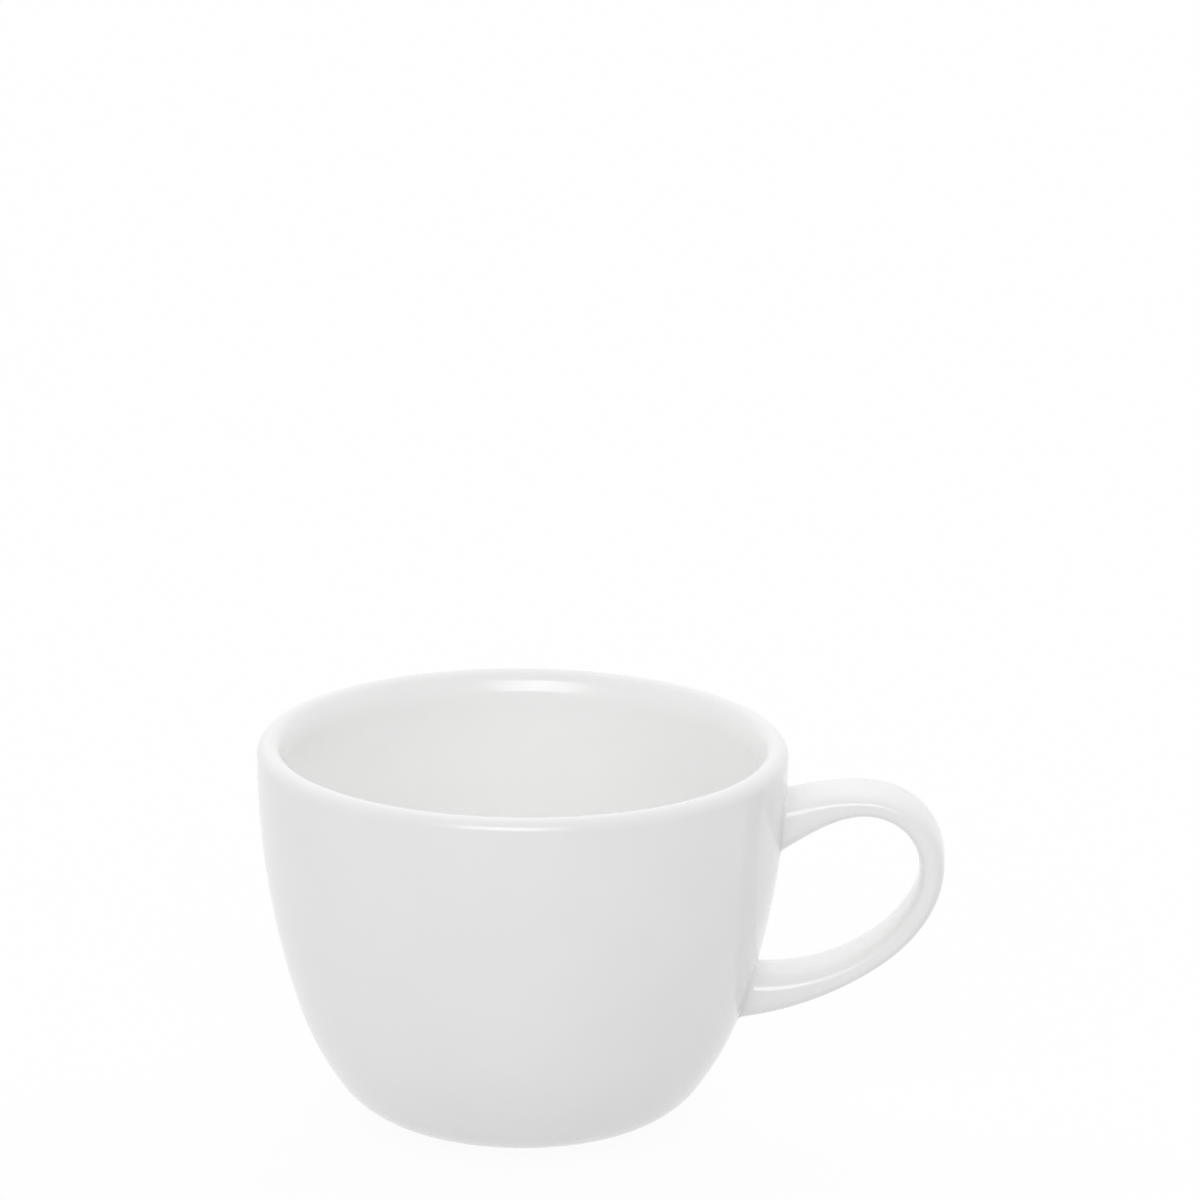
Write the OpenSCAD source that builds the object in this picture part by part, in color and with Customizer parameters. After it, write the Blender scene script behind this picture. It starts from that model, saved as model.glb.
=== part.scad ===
// Espresso cup: a round-bottomed porcelain bowl whose lip rolls over into the inside, and
// an ear-shaped strap handle luted to its wall with slip.
// The origin is the centre of the foot on the table, +Z is up and the handle points to +X.

/* [Bowl] */
// Outer diameter of the rim
rim_d = 66; // [56:1:84]
// Height from the table to the top of the lip
cup_h = 48.6; // [44:0.2:64]
// Thickness of the wall
wall_t = 3.6; // [3.2:0.1:4.2]
// Thickness of the floor above the foot recess
floor_t = 3; // [2.2:0.1:4]
// Radius of the top edge of the lip
lip_r = 1.5; // [1.2:0.1:1.6]
// Radius of the long roll from the top edge down into the inner wall
roll_r = 5.5; // [4.5:0.5:9]

/* [Outer curve] */
// Steepness in degrees where the long wall curve passes into the shoulder curve
wall_angle = 72; // [68:1:76]
// Radius of the shoulder curve
shoulder_r = 36; // [28:1:44]
// Steepness in degrees where the shoulder curve passes into the turn of the base
shoulder_angle = 54; // [46:1:62]
// Radius of the turn into the base
base_turn_r = 11; // [8:0.5:14]

/* [Foot ring] */
// Outer diameter of the foot ring
foot_d = 27; // [22:1:32]
// Width of the foot ring
foot_w = 2.6; // [1.8:0.1:4]
// Height of the bowl's underside above the table
foot_h = 0.75; // [0.6:0.05:2]
// Depth of the recess inside the foot ring
recess_h = 1.4; // [0.9:0.1:2]
// Radius on the edges of the foot ring and in the corner of its recess
foot_edge_r = 0.4; // [0.2:0.05:0.5]

/* [Handle] */
// Drop from the top of the lip to the middle of the handle's upper root
upper_root_drop = 9.9; // [8:0.1:13]
// Height of the middle of the handle's lower root
lower_root_z = 17.2; // [15:0.1:20]
// How far the middle of the strap reaches past the rim
handle_reach = 18; // [14:0.1:24]
// How far the arch climbs above the upper root
arch_rise = 3.4; // [2:0.1:5]
// Width of the strap
strap_w = 9.7; // [7:0.1:12]
// Thickness of the strap along the loop
strap_t = 3.2; // [2.4:0.1:4.5]
// Thickness of the strap inside the wall at the upper root
upper_root_t = 7.2; // [5:0.1:8]
// Thickness of the strap inside the wall at the lower root
lower_root_t = 6.8; // [5:0.1:8]
// Squareness of the strap's section: 2 is an ellipse and more is boxier
strap_power = 3; // [2:0.1:5]

/* [Slip joints] */
// Thickness of the slip between the handle and the wall
slip_t = 0.3; // [0.2:0.05:0.6]
// Reach past the film of the bead of slip over and under each root
bead_r = 0.2; // [0.1:0.1:0.8]
// Reach past the film of the fuller bead on the sides of the upper root
upper_side_bead_r = 0.5; // [0.2:0.1:1]
// Reach past the film of the fuller bead on the sides of the lower root
lower_side_bead_r = 0.6; // [0.2:0.1:1.2]

/* [Hidden] */
$fn = 120;
glaze_white = [0.93, 0.93, 0.92];
slip_white = [0.88, 0.88, 0.87];

// The outer curve is three arcs, each tangent to the next, from the lip's side to the underside
rim_r = rim_d / 2;
lip_edge_r = min(lip_r, wall_t / 2);
lip_c = [rim_r - lip_edge_r, cup_h - lip_edge_r];
shoulder_drop = shoulder_r * (cos(shoulder_angle) - cos(wall_angle));
base_drop = base_turn_r * (1 - cos(shoulder_angle));
wall_r = (lip_c.y - foot_h - shoulder_drop - base_drop) / cos(wall_angle);
wall_c = [rim_r - wall_r, lip_c.y];
shoulder_c = wall_c + (wall_r - shoulder_r) * slope_normal(wall_angle);
base_c = shoulder_c + (shoulder_r - base_turn_r) * slope_normal(shoulder_angle);

// The roll is tangent to the lip's top edge, which it encloses, and to the inner wall
roll_to_wall = wall_r - wall_t + roll_r;
roll_to_lip = roll_r - lip_edge_r;
lip_to_wall = lip_c.x - wall_c.x;
roll_along = (pow(roll_to_wall, 2) - pow(roll_to_lip, 2) + pow(lip_to_wall, 2)) / (2 * lip_to_wall);
roll_drop = sqrt(max(pow(roll_to_wall, 2) - pow(roll_along, 2), 0));
roll_c = wall_c + [roll_along, -roll_drop];
roll_low_z = roll_c.y + roll_r * roll_drop / roll_to_wall;
roll_top_z = lip_c.y + lip_edge_r * roll_drop / roll_to_lip;

// The inner curve keeps the wall's thickness down to the shoulder and turns into the floor there
floor_z = recess_h + floor_t;
inner_shoulder_r = shoulder_r - wall_t;
inner_turn_r = (shoulder_c.y - inner_shoulder_r * cos(shoulder_angle) - floor_z) / (1 - cos(shoulder_angle));
inner_turn_c = shoulder_c + (inner_shoulder_r - inner_turn_r) * slope_normal(shoulder_angle);

// How far each stretch of an outline reaches up into the next, and the roll past the lip's middle
slab_overlap = 1;
lip_overlap = lip_edge_r / 4;

foot_r = foot_d / 2;
foot_in_r = foot_r - foot_w;

// The handle's middle line is one smooth curve drawn by six control points. The shares place the
// inner four by the reach and by the arch's rise or the height between the roots.
root_depth = 2.3;
arch_shares = [[0.667, 1.9], [0.761, 2.18]];
bulge_shares = [1.822, 0.749];
return_shares = [0.611, -0.033];
upper_root_z = cup_h - upper_root_drop;
root_height = upper_root_z - lower_root_z;
loop_line = [
    [outer_r(upper_root_z) - root_depth, upper_root_z],
    [rim_r + arch_shares[0].x * handle_reach, upper_root_z + arch_shares[0].y * arch_rise],
    [rim_r + arch_shares[1].x * handle_reach, upper_root_z + arch_shares[1].y * arch_rise],
    [rim_r + bulge_shares.x * handle_reach, lower_root_z + bulge_shares.y * root_height],
    [rim_r + return_shares.x * handle_reach, lower_root_z + return_shares.y * root_height],
    [outer_r(lower_root_z) - root_depth, lower_root_z]
];
// Shares of the loop over which the strap thickens to its upper and lower root
upper_flare_share = 0.256;
lower_flare_share = 0.226;
// Share of the loop that surely reaches out of the wall at each root
root_share = 0.2;
strap_rings = 60;
strap_sides = 32;
strap_angles = [for (k = [0:strap_sides - 1]) 360 * k / strap_sides];
// Room between the facets of the slip and those of the wall and the strap
seat_gap = 0.02;
// Shares of a root's outline at which the rings across its end lie
end_shares = [0.2, 0.6];
bead_steps = 4;

// Reach of the bead at an angle round the strap's section
function bead_reach(angle, side_r) = slip_t + bead_r + (side_r - bead_r) * pow(sin(angle), 2);

// Outward normal of a curve whose steepness is given in degrees
function slope_normal(angle) = [sin(angle), -cos(angle)];

// Distance from an arc's centre line to its outer side at a height
function arc_r(centre, radius, z) = centre.x + sqrt(max(radius * radius - pow(z - centre.y, 2), 0));

// Centre and radius of the outer arc at a height
function outer_arc(z) =
    z > wall_c.y - wall_r * cos(wall_angle) ? [wall_c, wall_r]
    : z > shoulder_c.y - shoulder_r * cos(shoulder_angle) ? [shoulder_c, shoulder_r]
    : [base_c, base_turn_r];

function outer_r(z) = let (arc = outer_arc(z)) arc_r(arc[0], arc[1], z);

// Distance of a point from the outer curve, less than 0 inside the bowl
function wall_distance(p) =
    let (arc = outer_arc(p.z))
    norm([norm([p.x, p.y]), p.z] - arc[0]) - arc[1];

function outer_normal(p) =
    let (arc = outer_arc(p.z), r = norm([p.x, p.y]))
    let (across = (r - arc[0].x) / arc[1], rise = (p.z - arc[0].y) / arc[1])
    [across * p.x / r, across * p.y / r, rise];

// Point on the handle's side of the wall at a width and a height, lifted off the wall
function on_wall(y, z, lift) =
    let (p = [sqrt(pow(outer_r(z), 2) - y * y), y, z])
    p + lift * outer_normal(p);

function unit(v) = v / norm(v);

// Part of v that lies in the plane with the unit normal n
function flatten(v, n) = unit(v - (v * n) * n);

// Point at u on the smooth curve of a list of control points
function curve_at(points, u) =
    len(points) == 1 ? points[0]
    : curve_at([for (i = [0:len(points) - 2]) points[i] * (1 - u) + points[i + 1] * u], u);

function loop_direction(u) =
    unit(curve_at([for (i = [0:len(loop_line) - 2]) loop_line[i + 1] - loop_line[i]], u));

function flare(distance, length) = pow(max(0, 1 - distance / length), 2);

function strap_thickness(u) =
    strap_t
    + (upper_root_t - strap_t) * flare(u, upper_flare_share)
    + (lower_root_t - strap_t) * flare(1 - u, lower_flare_share);

// A number raised to a power with its sign kept
function signed_pow(x, power) = sign(x) * pow(abs(x), power);

// Point of the strap's surface at u along the loop and at an angle round its section,
// pushed out by an outset
function strap_point(u, angle, outset = 0) =
    let (middle = curve_at(loop_line, u), along = loop_direction(u))
    let (out = signed_pow(cos(angle), 2 / strap_power) * (strap_thickness(u) / 2 + outset))
    let (side = signed_pow(sin(angle), 2 / strap_power) * (strap_w / 2 + outset))
    [middle.x - along.y * out, -side, middle.y + along.x * out];

function strap_normal(u, angle) =
    let (step = 0.002, turn = 2)
    unit(cross(strap_point(u, angle + turn) - strap_point(u, angle - turn),
        strap_point(u + step, angle) - strap_point(u - step, angle)));

// Where along the loop a line of the strap's surface is a given distance off the wall
function wall_crossing(angle, distance, outset, inside, outside, turns = 18) =
    let (middle = (inside + outside) / 2)
    turns == 0 ? middle
    : wall_distance(strap_point(middle, angle, outset)) < distance
        ? wall_crossing(angle, distance, outset, middle, outside, turns - 1)
    : wall_crossing(angle, distance, outset, inside, middle, turns - 1);

// The crossings of all the strap's lines at the loop's end 0, the upper root, or 1, the lower root
function root_crossings(end, distance, outset = 0) =
    [for (angle = strap_angles) wall_crossing(angle, distance, outset, end, abs(end - root_share))];

function strap_ring(crossings, outset = 0) =
    [for (k = [0:strap_sides - 1]) strap_point(crossings[k], strap_angles[k], outset)];

// Outline on the wall drawn in to a share of its size round its middle, lifted off the wall
function end_ring(outline, share, lift) =
    let (heights = [for (p = outline) p.z], middle_z = (min(heights) + max(heights)) / 2)
    [for (p = outline) on_wall(p.y * share, middle_z + (p.z - middle_z) * share, lift)];

function reversed(list) = [for (i = [len(list) - 1:-1:0]) list[i]];

// Triangles between rings of points, with a cap on the first and the last ring
function ring_faces(rings, sides) = concat(
    [for (i = [0:rings - 2], j = [0:sides - 1])
        let (a = i * sides, b = a + sides, next = (j + 1) % sides)
        each [[a + j, b + j, b + next], [a + j, b + next, a + next]]],
    [for (j = [1:sides - 2]) [0, j, j + 1]],
    [for (j = [1:sides - 2]) let (a = (rings - 1) * sides) [a, a + j + 1, a + j]]
);

// Filled stretch of an outline between two heights, from the axis out to an arc. Each arc lies
// inside the one above it, so a stretch may reach up into the next.
module arc_slab(centre, radius, low, high) {
    intersection() {
        translate(centre) circle(radius);
        translate([0, low]) square([centre.x + 2 * radius, high - low]);
    }
    if (centre.x > 0) translate([0, low]) square([centre.x, high - low]);
}

// Filled outline of the bowl, grown by an amount, with its own turn into the base
module bowl_outline(grow, turn_c, turn_r, top) {
    wall_low = wall_c.y - (wall_r + grow) * cos(wall_angle);
    shoulder_low = shoulder_c.y - (shoulder_r + grow) * cos(shoulder_angle);
    arc_slab(wall_c, wall_r + grow, wall_low, top);
    arc_slab(shoulder_c, shoulder_r + grow, shoulder_low, wall_low + slab_overlap);
    arc_slab(turn_c, turn_r, turn_c.y - turn_r, shoulder_low + slab_overlap);
}

// Rectangle from a lower left to an upper right corner
module span(low, high) {
    translate(low) square(high - low);
}

// Quarter disc on the side of its centre that a pair of signs gives
module quarter_disc(centre, radius, side) {
    intersection() {
        translate(centre) circle(radius);
        translate(centre + radius * [min(side.x, 0), min(side.y, 0)]) square(radius);
    }
}

module foot_ring_outline() {
    e = foot_edge_r;
    span([foot_in_r, e], [foot_r, foot_h + floor_t / 2]);
    span([foot_in_r + e, 0], [foot_r - e, e]);
    quarter_disc([foot_in_r + e, e], e, [-1, -1]);
    quarter_disc([foot_r - e, e], e, [1, -1]);
}

module recess_outline() {
    e = foot_edge_r;
    span([0, -e], [foot_in_r, recess_h - e]);
    span([0, recess_h - e], [foot_in_r - e, recess_h]);
    quarter_disc([foot_in_r - e, recess_h - e], e, [1, 1]);
}

// Top edge of the lip, and the roll from it down to the inner wall
module lip_outline() {
    translate(lip_c) circle(lip_edge_r);
    intersection() {
        translate(roll_c) circle(roll_r);
        span([0, roll_low_z - slab_overlap], [lip_c.x + lip_overlap, roll_top_z]);
    }
}

// Solid skin of rings of points that all have the strap's number of sides
module skin(rings, inward = false) {
    faces = ring_faces(len(rings), strap_sides);
    polyhedron([for (ring = rings) each ring], inward ? [for (f = faces) reversed(f)] : faces);
}

// Film of slip between the wall and one end of the strap, with the bead that is pressed out
// round it. Its rings run from under the film's middle out along the wall, up the hollow of the
// bead, down the strap's side and back in over the film.
module slip_joint(end, side_r) {
    corner_us = root_crossings(end, seat_gap, seat_gap);
    corners = strap_ring(corner_us, seat_gap);
    film_top = slip_t - seat_gap;
    film_edge = strap_ring(root_crossings(end, film_top, seat_gap), seat_gap);
    wall_n = [for (p = corners) outer_normal(p)];
    strap_n = [for (k = [0:strap_sides - 1]) strap_normal(corner_us[k], strap_angles[k])];
    reach = [for (angle = strap_angles) bead_reach(angle, side_r)];
    bead_low = corners + [for (k = [0:strap_sides - 1]) reach[k] * flatten(strap_n[k], wall_n[k])];
    bead_high = corners + [for (k = [0:strap_sides - 1]) reach[k] * flatten(wall_n[k], strap_n[k])];
    rings = concat(
        [for (share = end_shares) end_ring(corners, share, seat_gap)],
        [end_ring(bead_low, 1, seat_gap)],
        [for (s = [1:bead_steps]) [for (k = [0:strap_sides - 1])
            curve_at([bead_low[k], corners[k], bead_high[k]], s / bead_steps)]],
        [film_edge],
        [for (share = reversed(end_shares)) end_ring(film_edge, share, film_top)]);
    skin(rings, inward = end == 1);
}

module cup_body() {
    color(glaze_white) rotate_extrude() {
        difference() {
            union() {
                bowl_outline(0, base_c, base_turn_r, lip_c.y);
                foot_ring_outline();
            }
            bowl_outline(-wall_t, inner_turn_c, inner_turn_r, roll_low_z + slab_overlap);
            span([0, roll_low_z], [lip_c.x, cup_h]);
            recess_outline();
        }
        lip_outline();
    }
}

// Strap of the whole loop, with both ends trimmed to the curve of the wall
module handle() {
    from = root_crossings(0, slip_t);
    to = root_crossings(1, slip_t);
    rings = concat(
        [for (share = end_shares) end_ring(strap_ring(from), share, slip_t)],
        [for (i = [0:strap_rings]) strap_ring(from + (to - from) * i / strap_rings)],
        [for (share = reversed(end_shares)) end_ring(strap_ring(to), share, slip_t)]);
    color(glaze_white) skin(rings);
}

module upper_slip_joint() {
    color(slip_white) slip_joint(0, upper_side_bead_r);
}

module lower_slip_joint() {
    color(slip_white) slip_joint(1, lower_side_bead_r);
}

cup_body();
handle();
upper_slip_joint();
lower_slip_joint();
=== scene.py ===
"""Looks of a white porcelain espresso cup: lathed bowl, swept handle, glaze, studio light and camera."""

import math

import bpy
import numpy as np
from mathutils import Euler, Matrix, Vector


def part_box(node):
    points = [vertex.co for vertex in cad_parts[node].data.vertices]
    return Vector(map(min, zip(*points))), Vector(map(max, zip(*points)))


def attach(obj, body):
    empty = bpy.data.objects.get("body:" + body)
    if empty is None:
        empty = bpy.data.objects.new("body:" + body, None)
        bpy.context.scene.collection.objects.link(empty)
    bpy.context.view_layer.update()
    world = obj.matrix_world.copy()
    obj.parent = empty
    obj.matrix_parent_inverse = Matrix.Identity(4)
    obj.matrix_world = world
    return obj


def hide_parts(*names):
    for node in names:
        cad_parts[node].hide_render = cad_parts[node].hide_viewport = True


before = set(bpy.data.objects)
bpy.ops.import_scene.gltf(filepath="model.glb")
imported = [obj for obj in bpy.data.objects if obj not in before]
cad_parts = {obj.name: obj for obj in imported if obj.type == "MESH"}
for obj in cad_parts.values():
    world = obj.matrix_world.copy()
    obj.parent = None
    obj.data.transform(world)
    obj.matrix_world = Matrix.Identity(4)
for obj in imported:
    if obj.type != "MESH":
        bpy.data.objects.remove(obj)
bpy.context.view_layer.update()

# Sizes are in millimetres here, and meshes and stage pieces are made in metres
MM = 0.001

# Bowl: the sizes of the solid, and how finely its outline is drawn
bowl_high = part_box("cup_body")[1]
RIM_R = bowl_high.x / MM
CUP_H = bowl_high.z / MM
WALL_T = 3.6
FLOOR_T = 3.0
LIP_R = 1.5
ROLL_R = 5.5
WALL_ANGLE = 72.0
SHOULDER_R = 36.0
SHOULDER_ANGLE = 54.0
BASE_TURN_R = 11.0
FOOT_R = 13.5
FOOT_W = 2.6
FOOT_H = 0.75
RECESS_H = 1.4
FOOT_EDGE_R = 0.4
FOOT_COVE_R = 0.3
BOWL_SEGMENTS = 224
PROFILE_STEP = 0.45
FINE_STEP = 0.08
SAME_POINT = 1e-6

# Handle: the sizes of the solid. Its middle line is one smooth curve drawn by six control points, and
# the shares place the inner four by the reach and by the arch's rise or the height between the roots.
UPPER_ROOT_Z = CUP_H - 9.9
LOWER_ROOT_Z = 17.2
HANDLE_REACH = 18.0
ARCH_RISE = 3.4
STRAP_W = 9.7
STRAP_T = 3.2
UPPER_ROOT_T = 7.2
LOWER_ROOT_T = 6.8
STRAP_POWER = 3.0
ROOT_DEPTH = 2.3
ARCH_SHARES = ((0.667, 1.9), (0.761, 2.18))
BULGE_SHARES = (1.822, 0.749)
RETURN_SHARES = (0.611, -0.033)
UPPER_FLARE_SHARE = 0.256
LOWER_FLARE_SHARE = 0.226
STRAP_RINGS = 220
STRAP_SIDES = 96
STRAP_ANGLES = np.linspace(0, 2 * math.pi, STRAP_SIDES, endpoint=False)

# The loop's two ends, as shares along it, and the share that surely reaches out of the wall at each
UPPER = 0
LOWER = 1
ROOT_SHARE = 0.2
ROOT_HALVINGS = 30
# Shares of a root's outline at which the rings across its end lie
END_SHARES = (0.05, 0.35, 0.7)
# Small steps along the loop, as a share, and round its section, in degrees, for slopes and normals
STRAP_STEP = 0.002
STRAP_TURN = 2.0

# Slip joints: the film's thickness, and how far the bead reaches past it over and under each root and,
# fuller, beside the upper and the lower one
SLIP_T = 0.3
BEAD_R = 0.2
SIDE_BEAD_R = (0.5, 0.6)
BEAD_STEPS = 14
# How far the bead's curve is pulled towards the corner, as a share of its reach
BEAD_PULL = 2 / 3
# How far the edges of a bead and the ends of the handle lie from the surface that they meet
SEAT = 0.01
# Pooled glaze and painted shade: how far the grey shows from a root's corner, its share there, and more
# painted shade low in a bead's hollow
POOL_AND_SHADE_REACH = 2.2
POOL_AND_SHADE_SHARE = 0.3
CREASE_SHADE_SHARE = 0.85


def slope_normal(angle):
    """Outward normal, in the (radius, height) plane, of a curve that is this steep, in degrees."""
    a = math.radians(angle)
    return np.array([math.sin(a), -math.cos(a)])


def cos_deg(angle):
    """Cosine of an angle in degrees."""
    return math.cos(math.radians(angle))


# The outer curve is three tangent arcs, and the inner one follows it at the wall's thickness
LIP_C = np.array([RIM_R - LIP_R, CUP_H - LIP_R])
shoulder_drop = SHOULDER_R * (cos_deg(SHOULDER_ANGLE) - cos_deg(WALL_ANGLE))
base_drop = BASE_TURN_R * (1 - cos_deg(SHOULDER_ANGLE))
WALL_R = (LIP_C[1] - FOOT_H - shoulder_drop - base_drop) / cos_deg(WALL_ANGLE)
WALL_C = np.array([RIM_R - WALL_R, LIP_C[1]])
SHOULDER_C = WALL_C + (WALL_R - SHOULDER_R) * slope_normal(WALL_ANGLE)
BASE_C = SHOULDER_C + (SHOULDER_R - BASE_TURN_R) * slope_normal(SHOULDER_ANGLE)
FLOOR_Z = RECESS_H + FLOOR_T
INNER_SHOULDER_R = SHOULDER_R - WALL_T
shoulder_end_z = SHOULDER_C[1] - INNER_SHOULDER_R * cos_deg(SHOULDER_ANGLE)
INNER_TURN_R = (shoulder_end_z - FLOOR_Z) / (1 - cos_deg(SHOULDER_ANGLE))
INNER_TURN_C = SHOULDER_C + (INNER_SHOULDER_R - INNER_TURN_R) * slope_normal(SHOULDER_ANGLE)

# The roll is tangent to the lip's top edge, which it encloses, and to the inner wall
roll_to_wall = WALL_R - WALL_T + ROLL_R
roll_to_lip = ROLL_R - LIP_R
lip_to_wall = LIP_C[0] - WALL_C[0]
roll_along = (roll_to_wall**2 - roll_to_lip**2 + lip_to_wall**2) / (2 * lip_to_wall)
roll_drop = math.sqrt(roll_to_wall**2 - roll_along**2)
ROLL_C = WALL_C + np.array([roll_along, -roll_drop])
ROLL_START = 180 - math.degrees(math.asin(roll_drop / roll_to_lip))
ROLL_END = 180 - math.degrees(math.asin(roll_drop / roll_to_wall))


def arc(centre, radius, start, end, step=PROFILE_STEP):
    """Points of an arc in the (radius, height) plane between two angles in degrees."""
    count = max(3, math.ceil(radius * math.radians(abs(end - start)) / step) + 1)
    angles = np.radians(np.linspace(start, end, count))
    return np.array(centre) + radius * np.column_stack([np.cos(angles), np.sin(angles)])


def line(start, end, step=PROFILE_STEP):
    """Points of a straight stretch in the (radius, height) plane."""
    start = np.array(start, float)
    end = np.array(end, float)
    count = max(2, math.ceil(np.linalg.norm(end - start) / step) + 1)
    return start + np.linspace(0, 1, count)[:, None] * (end - start)


def foot_profile():
    """From the middle of the recess over the foot ring to the bowl's underside."""
    e = FOOT_EDGE_R
    c = FOOT_COVE_R
    inner = FOOT_R - FOOT_W
    return [
        line((0, RECESS_H), (inner - e, RECESS_H)),
        arc((inner - e, RECESS_H - e), e, 90, 0, FINE_STEP),
        line((inner, RECESS_H - e), (inner, e), FINE_STEP),
        arc((inner + e, e), e, 180, 270, FINE_STEP),
        line((inner + e, 0), (FOOT_R - e, 0), FINE_STEP),
        arc((FOOT_R - e, e), e, 270, 360, FINE_STEP),
        arc((FOOT_R + c, FOOT_H - c), c, 180, 90, FINE_STEP),
        line((FOOT_R + c, FOOT_H), (BASE_C[0], FOOT_H), FINE_STEP),
    ]


def bowl_profile():
    """The outline from the middle of the recess, up the outside, over the lip and down to the floor."""
    wall_end = WALL_ANGLE - 90
    shoulder_end = SHOULDER_ANGLE - 90
    stretches = foot_profile() + [
        arc(BASE_C, BASE_TURN_R, -90, shoulder_end),
        arc(SHOULDER_C, SHOULDER_R, shoulder_end, wall_end),
        arc(WALL_C, WALL_R, wall_end, 0),
        arc(LIP_C, LIP_R, 0, ROLL_START, FINE_STEP),
        arc(ROLL_C, ROLL_R, ROLL_START, ROLL_END, FINE_STEP),
        arc(WALL_C, WALL_R - WALL_T, ROLL_END - 180, wall_end),
        arc(SHOULDER_C, INNER_SHOULDER_R, wall_end, shoulder_end),
        arc(INNER_TURN_C, INNER_TURN_R, shoulder_end, -90),
        line((INNER_TURN_C[0], FLOOR_Z), (0, FLOOR_Z)),
    ]
    points = np.concatenate(stretches)
    fresh = np.linalg.norm(np.diff(points, axis=0), axis=1) > SAME_POINT
    return points[np.concatenate([[True], fresh])]


def make_piece(name, points_mm, faces, replaced):
    """A smooth mesh object that stands for a CAD node and rides on the cup."""
    mesh = bpy.data.meshes.new(name)
    mesh.from_pydata((np.array(points_mm) * MM).tolist(), [], faces)
    mesh.update()
    mesh.shade_smooth()
    piece = bpy.data.objects.new(name, mesh)
    bpy.context.scene.collection.objects.link(piece)
    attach(piece, "root")
    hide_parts(replaced)
    return piece


def paint(piece, attribute, values):
    """Stores one number for each point of a piece, for its material to read."""
    layer = piece.data.attributes.new(attribute, "FLOAT", "POINT")
    layer.data.foreach_set("value", np.asarray(values, np.float32))


def pool_and_shade_share(distance):
    """How much of the grey of pooled glaze and painted shade shows at a distance from the corner round a
    root.
    """
    return POOL_AND_SHADE_SHARE * np.clip(1 - distance / POOL_AND_SHADE_REACH, 0, 1) ** 2


def ring_faces(rings, sides):
    """Quads between closed rings of points that follow each other in a list."""
    faces = []
    for i in range(rings - 1):
        for j in range(sides):
            k = (j + 1) % sides
            faces.append((i * sides + j, i * sides + k, (i + 1) * sides + k, (i + 1) * sides + j))
    return faces


def lathe(profile):
    """Points and faces of a closed outline turned round the axis, which its two ends lie on."""
    turns = np.linspace(0, 2 * math.pi, BOWL_SEGMENTS, endpoint=False)
    body = profile[1:-1]
    points = np.array([(r * math.cos(t), r * math.sin(t), z) for r, z in body for t in turns])
    faces = ring_faces(len(body), BOWL_SEGMENTS)
    first = len(points)
    points = np.concatenate([points, [(0, 0, profile[0][1]), (0, 0, profile[-1][1])]])
    last_ring = (len(body) - 1) * BOWL_SEGMENTS
    for j in range(BOWL_SEGMENTS):
        k = (j + 1) % BOWL_SEGMENTS
        faces.append((first, k, j))
        faces.append((first + 1, last_ring + j, last_ring + k))
    return points, faces


def outer_arc(z):
    """Centre and radius of the outer arc at each height."""
    is_wall = z > WALL_C[1] - WALL_R * cos_deg(WALL_ANGLE)
    is_shoulder = z > SHOULDER_C[1] - SHOULDER_R * cos_deg(SHOULDER_ANGLE)
    centre = np.where(is_wall[..., None], WALL_C, np.where(is_shoulder[..., None], SHOULDER_C, BASE_C))
    radius = np.where(is_wall, WALL_R, np.where(is_shoulder, SHOULDER_R, BASE_TURN_R))
    return centre, radius


def outer_r(z):
    """Radius of the bowl's outside at each height."""
    z = np.asarray(z, float)
    centre, radius = outer_arc(z)
    return centre[..., 0] + np.sqrt(np.maximum(radius**2 - (z - centre[..., 1]) ** 2, 0))


def wall_offset(points):
    """Distance of points from the bowl's outside and the wall's normal there."""
    r = np.hypot(points[..., 0], points[..., 1])
    centre, radius = outer_arc(points[..., 2])
    across = r - centre[..., 0]
    rise = points[..., 2] - centre[..., 1]
    reach = np.hypot(across, rise)
    level = (across / reach / r)[..., None] * points[..., :2]
    return reach - radius, np.concatenate([level, (rise / reach)[..., None]], axis=-1)


def on_wall(y, z, lift):
    """Points on the handle's side of the wall, lifted off it."""
    points = np.stack([np.sqrt(outer_r(z) ** 2 - y**2), y, z], axis=-1)
    return points + lift * wall_offset(points)[1]


def loop_controls():
    """Control points, in the (x, z) plane, of the curve along the middle of the handle."""
    height = UPPER_ROOT_Z - LOWER_ROOT_Z
    low_shares = (BULGE_SHARES, RETURN_SHARES)
    arch = [(RIM_R + s * HANDLE_REACH, UPPER_ROOT_Z + t * ARCH_RISE) for s, t in ARCH_SHARES]
    low = [(RIM_R + s * HANDLE_REACH, LOWER_ROOT_Z + t * height) for s, t in low_shares]
    start = (float(outer_r(UPPER_ROOT_Z)) - ROOT_DEPTH, UPPER_ROOT_Z)
    end = (float(outer_r(LOWER_ROOT_Z)) - ROOT_DEPTH, LOWER_ROOT_Z)
    return np.array([start] + arch + low + [end])


LOOP = loop_controls()


def curve_at(points, u):
    """Points at the shares u of the smooth curve that a few control points draw."""
    u = np.asarray(u, float)[..., None]
    levels = [np.broadcast_to(p, u.shape[:-1] + p.shape) for p in points]
    while len(levels) > 1:
        levels = [a * (1 - u) + b * u for a, b in zip(levels, levels[1:])]
    return levels[0]


def flare(distance, length):
    """Share of a root's extra thickness, which runs out smoothly over a length."""
    return np.maximum(0, 1 - distance / length) ** 2


def signed_pow(x, power):
    """Power of a number's size, with the number's sign."""
    return np.sign(x) * np.abs(x) ** power


def unit(v):
    """Vectors of the same direction and of length 1."""
    return v / np.linalg.norm(v, axis=-1, keepdims=True)


def flatten(v, n):
    """The part of v that lies square to n, as a unit vector."""
    return unit(v - np.sum(v * n, axis=-1, keepdims=True) * n)


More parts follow.
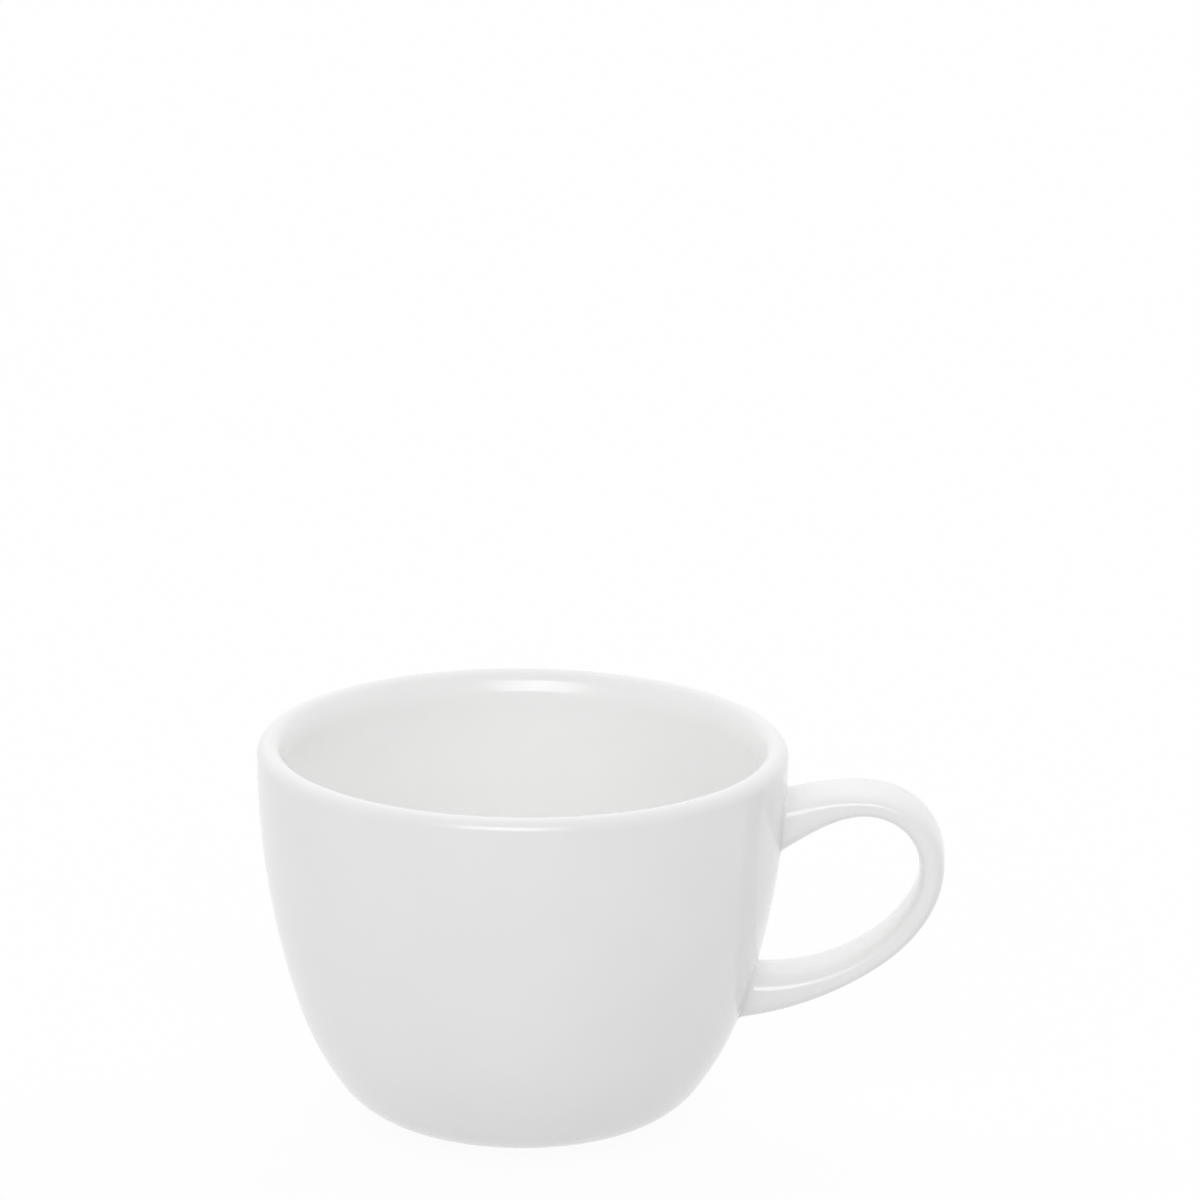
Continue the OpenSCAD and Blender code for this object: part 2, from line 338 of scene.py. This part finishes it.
def strap_point(u, angle):
    """Points of the strap's surface at u along the loop and at angles round its section."""
    middle = curve_at(LOOP, u)
    along = unit(curve_at(np.diff(LOOP, axis=0), u))
    thick = STRAP_T + (UPPER_ROOT_T - STRAP_T) * flare(u, UPPER_FLARE_SHARE)
    thick = thick + (LOWER_ROOT_T - STRAP_T) * flare(1 - u, LOWER_FLARE_SHARE)
    out = signed_pow(np.cos(angle), 2 / STRAP_POWER) * (thick / 2)
    side = signed_pow(np.sin(angle), 2 / STRAP_POWER) * (STRAP_W / 2)
    x = middle[..., 0] - along[..., 1] * out
    z = middle[..., 1] + along[..., 0] * out
    return np.stack([x, -side, z], axis=-1)


def strap_normal(u, angle):
    """Outward normals of the strap's surface."""
    turn = math.radians(STRAP_TURN)
    round_it = strap_point(u, angle + turn) - strap_point(u, angle - turn)
    along_it = strap_point(u + STRAP_STEP, angle) - strap_point(u - STRAP_STEP, angle)
    return unit(np.cross(round_it, along_it))


def root_crossings(end):
    """Where along the loop each line of the strap comes out of the wall, at its upper or lower end."""
    inside = np.full(STRAP_SIDES, float(end))
    outside = np.full(STRAP_SIDES, abs(end - ROOT_SHARE))
    for _ in range(ROOT_HALVINGS):
        middle = (inside + outside) / 2
        short = wall_offset(strap_point(middle, STRAP_ANGLES))[0] < 0
        inside = np.where(short, middle, inside)
        outside = np.where(short, outside, middle)
    return (inside + outside) / 2


def root_outline(end):
    """The strap's outline where it comes out of the wall."""
    return strap_point(root_crossings(end), STRAP_ANGLES)


def end_ring(outline, share, lift):
    """An outline on the wall drawn in round its middle."""
    middle = (outline[:, 2].min() + outline[:, 2].max()) / 2
    return on_wall(outline[:, 1] * share, middle + (outline[:, 2] - middle) * share, lift)


def make_ring_piece(name, rings, inward, capped):
    """A smooth piece through rings of points, whose first and last are capped or joined to each other."""
    points = np.concatenate(rings)
    count = len(rings)
    if capped:
        faces = ring_faces(count, STRAP_SIDES)
        first_cap = tuple(range(STRAP_SIDES))[::-1]
        last_cap = tuple(range((count - 1) * STRAP_SIDES, count * STRAP_SIDES))
        faces += [first_cap, last_cap]
    else:
        faces = [tuple(i % len(points) for i in f) for f in ring_faces(count + 1, STRAP_SIDES)]
    if inward:
        faces = [f[::-1] for f in faces]
    return make_piece(name + "_glazed", points, faces, name)


def make_bowl():
    """The bowl, with the bare face of its foot and the pooled glaze and painted shade round the handle's
    roots marked.
    """
    points, faces = lathe(bowl_profile())
    bowl = make_piece("cup_body_glazed", points, faces, "cup_body")
    radius = np.hypot(points[:, 0], points[:, 1])
    inner = FOOT_R - FOOT_W
    on_ring = (radius > inner - FOOT_EDGE_R) & (radius < FOOT_R + FOOT_EDGE_R)
    paint(bowl, "bare", np.clip(1 - points[:, 2] / FOOT_EDGE_R, 0, 1) * on_ring)
    root_points = np.concatenate([root_outline(UPPER), root_outline(LOWER)])
    near = np.full(len(points), POOL_AND_SHADE_REACH)
    handle_side = (points[:, 0] > RIM_R / 2) & (np.abs(points[:, 1]) < STRAP_W)
    gaps = np.linalg.norm(points[handle_side][:, None] - root_points[None], axis=2).min(axis=1)
    near[handle_side] = np.minimum(gaps, POOL_AND_SHADE_REACH)
    # Pooled glaze and painted shade: greyer towards the corner round each root
    paint(bowl, "pool_and_shade", pool_and_shade_share(near))
    return bowl


def make_handle():
    """The strap from wall to wall, with its two ends closed along the wall."""
    start = root_crossings(UPPER)
    end = root_crossings(LOWER)
    shares = np.linspace(0, 1, STRAP_RINGS + 1)
    rings = [strap_point(start + (end - start) * s, STRAP_ANGLES) for s in shares]
    head = [end_ring(rings[0], share, SEAT) for share in END_SHARES]
    tail = [end_ring(rings[-1], share, SEAT) for share in END_SHARES[::-1]]
    rings = head + rings + tail
    handle = make_ring_piece("handle", rings, inward=False, capped=True)
    # Pooled glaze and painted shade: greyer where the strap nears the wall
    paint(handle, "pool_and_shade", pool_and_shade_share(wall_offset(np.concatenate(rings))[0]))
    return handle


def crease_rings(piece, rings):
    """Keeps the shading of a ring piece apart on the two sides of some of its rings."""
    for edge in piece.data.edges:
        first, second = (v // STRAP_SIDES for v in edge.vertices)
        edge.use_edge_sharp = first == second and first in rings


def bead_pool_and_shade(heights, reach, shares):
    """Pooled glaze and painted shade on each ring of a bead: most painted shade in its hollow, and darker
    low down.
    """
    lowness = 1 - (heights - heights.min()) / np.ptp(heights)
    rings = [pool_and_shade_share(reach) + CREASE_SHADE_SHARE * lowness * (1 - abs(2 * s - 1)) ** 2 for s in shares]
    return rings + [rings[len(rings) // 2]]


def make_slip_joint(name, end):
    """The hollow bead of glazed slip round one root, running out tangent to the wall and the strap."""
    crossings = root_crossings(end)
    corners = root_outline(end)
    wall_n = wall_offset(corners)[1]
    fuller = (SIDE_BEAD_R[end] - BEAD_R) * np.sin(STRAP_ANGLES) ** 2
    reach = (SLIP_T + BEAD_R + fuller)[:, None]
    low = end_ring(corners + reach * flatten(strap_normal(crossings, STRAP_ANGLES), wall_n), 1, 0)
    low_n = wall_offset(low)[1]
    off_root = STRAP_STEP if end == UPPER else -STRAP_STEP
    pace = strap_point(crossings + off_root, STRAP_ANGLES) - corners
    tops = crossings + off_root * reach[:, 0] / np.linalg.norm(pace, axis=1)
    high = strap_point(tops, STRAP_ANGLES)
    high_n = strap_normal(tops, STRAP_ANGLES)
    low_pull = low + BEAD_PULL * reach * flatten(corners - low, low_n)
    high_pull = high + BEAD_PULL * reach * flatten(corners - high, high_n)
    shares = np.linspace(0, 1, BEAD_STEPS + 1)
    bead = [curve_at([low, low_pull, high_pull, high], s) for s in shares]
    bead[0] = low - SEAT * low_n
    bead[-1] = high - SEAT * high_n
    under = [corners - SEAT * (low_n + high_n)]
    joint = make_ring_piece(name, bead + under, inward=end == LOWER, capped=False)
    crease_rings(joint, (0, BEAD_STEPS))
    # Pooled glaze and painted shade, most in the bead's hollow and low down
    paint(joint, "pool_and_shade", np.concatenate(bead_pool_and_shade(corners[:, 2], reach[:, 0], shares)))
    return joint


# Sockets of a Mix node for numbers and for colours: first, second and result
MIX_NUMBERS = (2, 3, 0)
MIX_COLOURS = (6, 7, 2)


class Nodes:
    """Short calls for building a node tree."""

    def __init__(self, tree):
        self.tree = tree
        tree.nodes.clear()

    def add(self, kind, inputs=(), **settings):
        node = self.tree.nodes.new(kind)
        for key, value in settings.items():
            setattr(node, key, value)
        for socket, value in dict(inputs).items():
            self.feed(node.inputs[socket], value)
        return node

    def feed(self, socket, value):
        if isinstance(value, bpy.types.NodeSocket):
            self.tree.links.new(value, socket)
        else:
            socket.default_value = value

    def math(self, operation, a, b=0.0, clamp=False):
        return self.add("ShaderNodeMath", {0: a, 1: b}, operation=operation, use_clamp=clamp).outputs[0]

    def attribute(self, name):
        return self.add("ShaderNodeAttribute", attribute_name=name).outputs["Fac"]

    def noise(self, place, scale, detail):
        inputs = {"Vector": place, "Scale": scale, "Detail": detail}
        return self.add("ShaderNodeTexNoise", inputs).outputs["Fac"]

    def spread(self, value, low, high, from_low=0.0, from_high=1.0):
        ends = {"From Min": from_low, "From Max": from_high, "To Min": low, "To Max": high}
        return self.add("ShaderNodeMapRange", {"Value": value, **ends}).outputs["Result"]

    def mix(self, share, a, b, kind, sockets):
        first, second, result = sockets
        inputs = {"Factor": share, first: a, second: b}
        return self.add("ShaderNodeMix", inputs, data_type=kind).outputs[result]

    def mix_number(self, share, a, b):
        return self.mix(share, a, b, "FLOAT", MIX_NUMBERS)

    def mix_colour(self, share, a, b):
        return self.mix(share, a, b, "RGBA", MIX_COLOURS)

    def bump(self, height, strength, distance, normal=None):
        inputs = {"Height": height, "Strength": strength, "Distance": distance}
        if normal is not None:
            inputs["Normal"] = normal
        return self.add("ShaderNodeBump", inputs).outputs["Normal"]


# Finish of the porcelain, with lengths in metres as the shaders read them
GLAZE_LIGHT = (0.953, 0.953, 0.949, 1)
GLAZE_DARK = (0.938, 0.938, 0.935, 1)
# Grey of the pooled glaze and painted shade round the handle's roots
POOL_AND_SHADE_TONE = (0.72, 0.72, 0.72, 1)
BISQUE_LIGHT = (0.76, 0.745, 0.715, 1)
BISQUE_DARK = (0.66, 0.645, 0.61, 1)
GLAZE_IOR = 1.53
GLAZE_ROUGHNESS = (0.045, 0.085)
BISQUE_ROUGHNESS = 0.75
# Noises: scale and detail
CLOUD = (70.0, 3.0)
RIPPLE = (110.0, 1.0)
PEEL = (900.0, 2.0)
GRAIN = (5200.0, 4.0)
# The values between which a noise runs from none to full
CLOUD_RANGE = (0.35, 0.65)
FINE_RANGE = (0.3, 0.7)
# Bumps: strength and height
RIPPLE_BUMP = (0.12, 0.0006)
PEEL_BUMP = (0.03, 0.0001)
GRAIN_BUMP = (0.5, 0.0001)
# Edge of the glaze on the foot: how far it wanders, and the values of bare between which it fades
EDGE_WANDER = 0.18
EDGE_FADE = (0.42, 0.52)


def bare_foot(n, place, peel, colour, roughness, normal):
    """Lays unglazed porcelain over the finish where bare is painted, with a ragged edge to the glaze."""
    grain = n.noise(place, *GRAIN)
    wander = n.spread(peel, -EDGE_WANDER, EDGE_WANDER, *FINE_RANGE)
    bare = n.spread(n.math("ADD", n.attribute("bare"), wander), 0, 1, *EDGE_FADE)
    bisque = n.mix_colour(n.spread(grain, 0, 1, *FINE_RANGE), BISQUE_DARK, BISQUE_LIGHT)
    colour = n.mix_colour(bare, colour, bisque)
    roughness = n.mix_number(bare, roughness, BISQUE_ROUGHNESS)
    normal = n.bump(n.math("MULTIPLY", grain, bare), *GRAIN_BUMP, normal)
    return colour, roughness, normal


def glaze_material(name, has_bare_foot=False):
    """Clear gloss glaze over white porcelain: clouded, rippled, and greyer with pooled glaze and painted
    shade round the handle's roots.
    """
    material = bpy.data.materials.new(name)
    material.use_nodes = True
    n = Nodes(material.node_tree)
    place = n.add("ShaderNodeTexCoord").outputs["Object"]
    peel = n.noise(place, *PEEL)
    clouds = n.spread(n.noise(place, *CLOUD), 0, 1, *CLOUD_RANGE)
    colour = n.mix_colour(clouds, GLAZE_DARK, GLAZE_LIGHT)
    # Pooled glaze and painted shade grey the colour round the handle's roots
    colour = n.mix_colour(n.attribute("pool_and_shade"), colour, POOL_AND_SHADE_TONE)
    roughness = n.spread(peel, *GLAZE_ROUGHNESS, *FINE_RANGE)
    normal = n.bump(n.noise(place, *RIPPLE), *RIPPLE_BUMP)
    normal = n.bump(peel, *PEEL_BUMP, normal)
    if has_bare_foot:
        colour, roughness, normal = bare_foot(n, place, peel, colour, roughness, normal)
    shader = n.add("ShaderNodeBsdfPrincipled", {
        "Base Color": colour,
        "Roughness": roughness,
        "IOR": GLAZE_IOR,
        "Normal": normal,
    })
    n.add("ShaderNodeOutputMaterial", {"Surface": shader.outputs[0]})
    return material


# Stage and light, with lengths in metres and angles in degrees
WHITE = (1, 1, 1, 1)
LIGHT_BOUNCES = 12
# Table: its size, its drop below the foot, its share of glow where it is seen, and its tone and share of
# glow where it only lights the cup
TABLE_SIZE = 12.0
TABLE_DROP = 0.00005
TABLE_SEEN_GLOW = 0.92
TABLE_TONE = (0.55, 0.55, 0.55, 1)
TABLE_GLOW = 0.35
# Tent: its strength behind the cup and on each side
TENT_BEHIND = 2.95
TENT_RIGHT = 1.52
TENT_LEFT = 0.75
# Window in the tent's front: its strength, the angle of its middle above the horizon, and its falloff
WINDOW_GLOW = 1.69
WINDOW_HEIGHT = 32.0
WINDOW_FALLOFF = 6.0
# Panel: where it stands, where it points, its width and height, and its power in watts
PANEL_PLACE = (-0.06, -1.18, 0.57)
PANEL_AIM = (0.0, 0.0, 0.024)
PANEL_SIZE = (1.6, 0.7)
PANEL_POWER = 12.5


def seen_directly(n):
    """1 for what the camera sees, straight or by a mirror or glass, and 0 for light on its way."""
    path = n.add("ShaderNodeLightPath").outputs
    seen = n.math("MAXIMUM", path["Is Camera Ray"], path["Is Glossy Ray"])
    return n.math("MAXIMUM", seen, path["Is Transmission Ray"])


def make_world():
    """White where it is seen. Elsewhere a tent, lit from behind and both sides, with a window in front."""
    world = bpy.data.worlds.new("studio")
    world.use_nodes = True
    n = Nodes(world.node_tree)
    direction = n.add("ShaderNodeTexCoord").outputs["Generated"]
    across, depth, height = n.add("ShaderNodeSeparateXYZ", {0: direction}).outputs
    up = n.math("MAXIMUM", height, 0.0)
    behind = n.math("MULTIPLY", n.math("MAXIMUM", depth, 0.0), TENT_BEHIND)
    right = n.math("MULTIPLY", n.math("MAXIMUM", across, 0.0), TENT_RIGHT)
    vault = n.math("MULTIPLY", up, n.math("ADD", behind, right))
    left = n.math("MULTIPLY", n.math("MINIMUM", across, 0.0), -TENT_LEFT)
    tilt = math.radians(WINDOW_HEIGHT)
    rise = n.math("MULTIPLY", height, math.sin(tilt))
    facing = n.math("SUBTRACT", rise, n.math("MULTIPLY", depth, math.cos(tilt)))
    window = n.math("POWER", n.math("MAXIMUM", facing, 0.0), WINDOW_FALLOFF)
    tent = n.math("ADD", n.math("ADD", vault, left), n.math("MULTIPLY", window, WINDOW_GLOW))
    white = n.add("ShaderNodeBackground", {"Color": WHITE, "Strength": 1.0})
    fill = n.add("ShaderNodeBackground", {"Color": WHITE, "Strength": tent})
    mixed = n.add("ShaderNodeMixShader", {0: seen_directly(n), 1: fill.outputs[0], 2: white.outputs[0]})
    n.add("ShaderNodeOutputWorld", {"Surface": mixed.outputs[0]})
    bpy.context.scene.world = world


def table_material():
    """White where it is seen, dimmer as a light on the cup, and clear from below, so the foot shows."""
    material = bpy.data.materials.new("white_table")
    material.use_nodes = True
    n = Nodes(material.node_tree)
    seen = seen_directly(n)
    tone = n.mix_colour(seen, TABLE_TONE, WHITE)
    matt = n.add("ShaderNodeBsdfDiffuse", {"Color": tone})
    glow = n.add("ShaderNodeEmission", {"Color": WHITE, "Strength": 1.0})
    share = n.spread(seen, TABLE_GLOW, TABLE_SEEN_GLOW)
    white = n.add("ShaderNodeMixShader", {0: share, 1: matt.outputs[0], 2: glow.outputs[0]})
    below = n.add("ShaderNodeNewGeometry").outputs["Backfacing"]
    clear = n.add("ShaderNodeBsdfTransparent")
    mixed = n.add("ShaderNodeMixShader", {0: below, 1: white.outputs[0], 2: clear.outputs[0]})
    n.add("ShaderNodeOutputMaterial", {"Surface": mixed.outputs[0]})
    return material


def make_table():
    """A table that keeps the cup's soft shadow, so little under the foot that no gap shows."""
    half = TABLE_SIZE / 2
    mesh = bpy.data.meshes.new("table")
    corners = [(-half, -half, 0), (half, -half, 0), (half, half, 0), (-half, half, 0)]
    mesh.from_pydata(corners, [], [(0, 1, 2, 3)])
    mesh.materials.append(table_material())
    floor = bpy.data.objects.new("table", mesh)
    floor.location.z = -TABLE_DROP
    bpy.context.scene.collection.objects.link(floor)


def make_panel():
    """A soft box in front of the cup, brightest in its middle, seen only in the cup's gloss."""
    lamp = bpy.data.lights.new("panel", "AREA")
    lamp.shape = "RECTANGLE"
    lamp.size, lamp.size_y = PANEL_SIZE
    lamp.energy = PANEL_POWER
    lamp.use_nodes = True
    n = Nodes(lamp.node_tree)
    place = n.add("ShaderNodeNewGeometry").outputs["Position"]
    across = n.math("SUBTRACT", n.add("ShaderNodeSeparateXYZ", {0: place}).outputs[0], PANEL_PLACE[0])
    edge = n.math("POWER", n.math("DIVIDE", across, PANEL_SIZE[0] / 2), 2.0)
    fade = n.math("POWER", n.math("SUBTRACT", 1.0, edge, clamp=True), 2.0)
    glow = n.add("ShaderNodeEmission", {"Color": WHITE, "Strength": fade})
    n.add("ShaderNodeOutputLight", {"Surface": glow.outputs[0]})
    panel = bpy.data.objects.new("panel", lamp)
    panel.location = PANEL_PLACE
    panel.rotation_euler = (Vector(PANEL_AIM) - Vector(PANEL_PLACE)).to_track_quat("-Z", "Y").to_euler()
    panel.visible_camera = False
    panel.visible_diffuse = False
    bpy.context.scene.collection.objects.link(panel)


# Camera: a long lens in front of the cup, a little to the handle's side
CAMERA_AIM_Z = 24.2
CAMERA_DISTANCE = 900.0
CAMERA_ELEVATION = 18.585
CAMERA_AZIMUTH = 3.88
CAMERA_PITCH = 15.973
CAMERA_YAW = -0.630
CAMERA_ROLL = 0.592
CAMERA_LENS = 215.8
SENSOR = 36.0


def make_camera():
    """The camera, placed round the cup's middle and turned so that the cup lies low in the frame."""
    camera_data = bpy.data.cameras.new("camera")
    camera_data.lens = CAMERA_LENS
    camera_data.sensor_width = SENSOR
    camera = bpy.data.objects.new("camera", camera_data)
    bpy.context.scene.collection.objects.link(camera)
    e = math.radians(CAMERA_ELEVATION)
    a = math.radians(CAMERA_AZIMUTH)
    back = Vector((math.cos(e) * math.sin(a), -math.cos(e) * math.cos(a), math.sin(e)))
    camera.location = (Vector((0, 0, CAMERA_AIM_Z)) + CAMERA_DISTANCE * back) * MM
    turn = Euler((math.radians(90 - CAMERA_PITCH), 0, math.radians(CAMERA_AZIMUTH + CAMERA_YAW)))
    rotation = turn.to_matrix() @ Matrix.Rotation(math.radians(CAMERA_ROLL), 3, "Z")
    camera.rotation_euler = rotation.to_euler()
    bpy.context.scene.camera = camera


bpy.context.scene.view_settings.view_transform = "Standard"
# Light that falls into a white bowl bounces many times before it comes out
bpy.context.scene.cycles.diffuse_bounces = LIGHT_BOUNCES
bpy.context.scene.cycles.glossy_bounces = LIGHT_BOUNCES
body_glaze = glaze_material("body_glaze", has_bare_foot=True)
handle_glaze = glaze_material("handle_glaze")
slip_glaze = glaze_material("slip_glaze")
make_bowl().data.materials.append(body_glaze)
make_handle().data.materials.append(handle_glaze)
make_slip_joint("upper_slip_joint", UPPER).data.materials.append(slip_glaze)
make_slip_joint("lower_slip_joint", LOWER).data.materials.append(slip_glaze)
make_world()
make_table()
make_panel()
make_camera()
